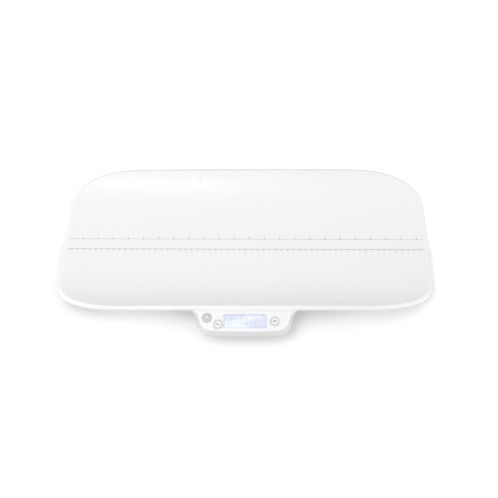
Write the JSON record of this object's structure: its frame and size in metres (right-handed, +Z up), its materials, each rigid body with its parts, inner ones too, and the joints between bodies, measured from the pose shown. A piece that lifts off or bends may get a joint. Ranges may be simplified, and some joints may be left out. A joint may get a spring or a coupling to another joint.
{
  "type": "animal weighing scale",
  "caption": "Flat-bottomed electronic scale with a long concave white tray, a printed length ruler and a small lit display panel with round buttons at the front.",
  "frame": {"origin": "on the table, under the middle of the whole object's bounding box", "axes": "+Z up, +X along the tray to the right of a user who faces the display, +Y away from the user; the display panel is at -Y"},
  "size_m": [0.6104, 0.3132, 0.065],
  "materials": {
    "tray_gloss_white": "glossy injection-moulded ABS with a faint moulding texture",
    "cover_satin_white": "satin spark-eroded ABS",
    "display_window_clear": "clear polished acrylic",
    "display_blue": "polished liquid-crystal glass, lit pale blue from behind",
    "backlight_diffuser": "milky light-guide plate",
    "connector_rubber": "banded conductive elastomer",
    "board_green": "solder-masked glass epoxy board",
    "chip_black": "black moulded epoxy",
    "button_white": "semi-gloss white ABS with a printed grey ring",
    "button_grey": "semi-gloss dark grey ABS",
    "cell_steel": "stamped steel, fine grain",
    "gauge_coating": "white silicone coating over the gauge",
    "cable_white": "PVC insulation",
    "cable_red": "PVC insulation",
    "foot_grey": "satin grey ABS",
    "foot_rubber": "non-slip rubber",
    "battery_sleeve": "printed foil sleeve, plain",
    "nickel_contact": "nickel-plated spring steel",
    "screw_zinc": "zinc-plated steel"
  },
  "bodies": {
    "root": {"tray_shell": "tray_gloss_white", "base_cover": "cover_satin_white", "display_back_cover": "cover_satin_white", "display_window": "display_window_clear", "lcd_glass": "display_blue", "lcd_backlight": "backlight_diffuser", "lcd_connector_strip": "connector_rubber", "main_circuit_board": "board_green", "controller_chip": "chip_black", "switch_hold": "chip_black", "switch_unit": "chip_black", "switch_power": "chip_black", "load_cell_front_left": "cell_steel", "load_cell_front_right": "cell_steel", "load_cell_back_left": "cell_steel", "load_cell_back_right": "cell_steel", "strain_gauge_front_left": "gauge_coating", "strain_gauge_front_right": "gauge_coating", "strain_gauge_back_left": "gauge_coating", "strain_gauge_back_right": "gauge_coating", "load_cell_cable_front_left": "cable_white", "load_cell_cable_front_right": "cable_white", "load_cell_cable_back_left": "cable_white", "load_cell_cable_back_right": "cable_white", "battery_lead": "cable_red", "battery_1": "battery_sleeve", "battery_2": "battery_sleeve", "battery_3": "battery_sleeve", "battery_spring_1": "nickel_contact", "battery_spring_2": "nickel_contact", "battery_spring_3": "nickel_contact", "contact_plate_negative": "nickel_contact", "contact_plate_link_left": "nickel_contact", "contact_plate_link_right": "nickel_contact", "contact_plate_positive": "nickel_contact", "base_screw_1": "screw_zinc", "base_screw_2": "screw_zinc", "base_screw_3": "screw_zinc", "base_screw_4": "screw_zinc", "base_screw_5": "screw_zinc", "base_screw_6": "screw_zinc", "display_cover_screw_1": "screw_zinc", "display_cover_screw_2": "screw_zinc", "board_screw_1": "screw_zinc", "board_screw_2": "screw_zinc", "board_screw_3": "screw_zinc"},
    "button_hold": {"button_hold": "button_grey"},
    "button_unit": {"button_unit": "button_white"},
    "button_power": {"button_power": "button_white"},
    "foot_front_left": {"foot_cup_front_left": "foot_grey", "foot_pad_front_left": "foot_rubber"},
    "foot_front_right": {"foot_cup_front_right": "foot_grey", "foot_pad_front_right": "foot_rubber"},
    "foot_back_left": {"foot_cup_back_left": "foot_grey", "foot_pad_back_left": "foot_rubber"},
    "foot_back_right": {"foot_cup_back_right": "foot_grey", "foot_pad_back_right": "foot_rubber"},
    "battery_door": {"battery_door": "cover_satin_white"}
  },
  "joints": [
    {"name": "button_hold_press", "type": "slide", "parent": "root", "child": "button_hold", "axis": [0, 0.274, -0.9617], "range_m": [0, 0.0006]},
    {"name": "button_unit_press", "type": "slide", "parent": "root", "child": "button_unit", "axis": [0, 0.274, -0.9617], "range_m": [0, 0.0006]},
    {"name": "button_power_press", "type": "slide", "parent": "root", "child": "button_power", "axis": [0, 0.274, -0.9617], "range_m": [0, 0.0006]},
    {"name": "foot_front_left_flex", "type": "slide", "parent": "root", "child": "foot_front_left", "axis": [0, 0, 1], "range_m": [0, 0.0005]},
    {"name": "foot_front_right_flex", "type": "slide", "parent": "root", "child": "foot_front_right", "axis": [0, 0, 1], "range_m": [0, 0.0005]},
    {"name": "foot_back_left_flex", "type": "slide", "parent": "root", "child": "foot_back_left", "axis": [0, 0, 1], "range_m": [0, 0.0005]},
    {"name": "foot_back_right_flex", "type": "slide", "parent": "root", "child": "foot_back_right", "axis": [0, 0, 1], "range_m": [0, 0.0005]},
    {"name": "battery_door_hinge", "type": "hinge", "parent": "root", "child": "battery_door", "pos_m": [0, 0.00891, 0.0079], "axis": [-1, 0, 0], "range_deg": [0, 100]}
  ]
}
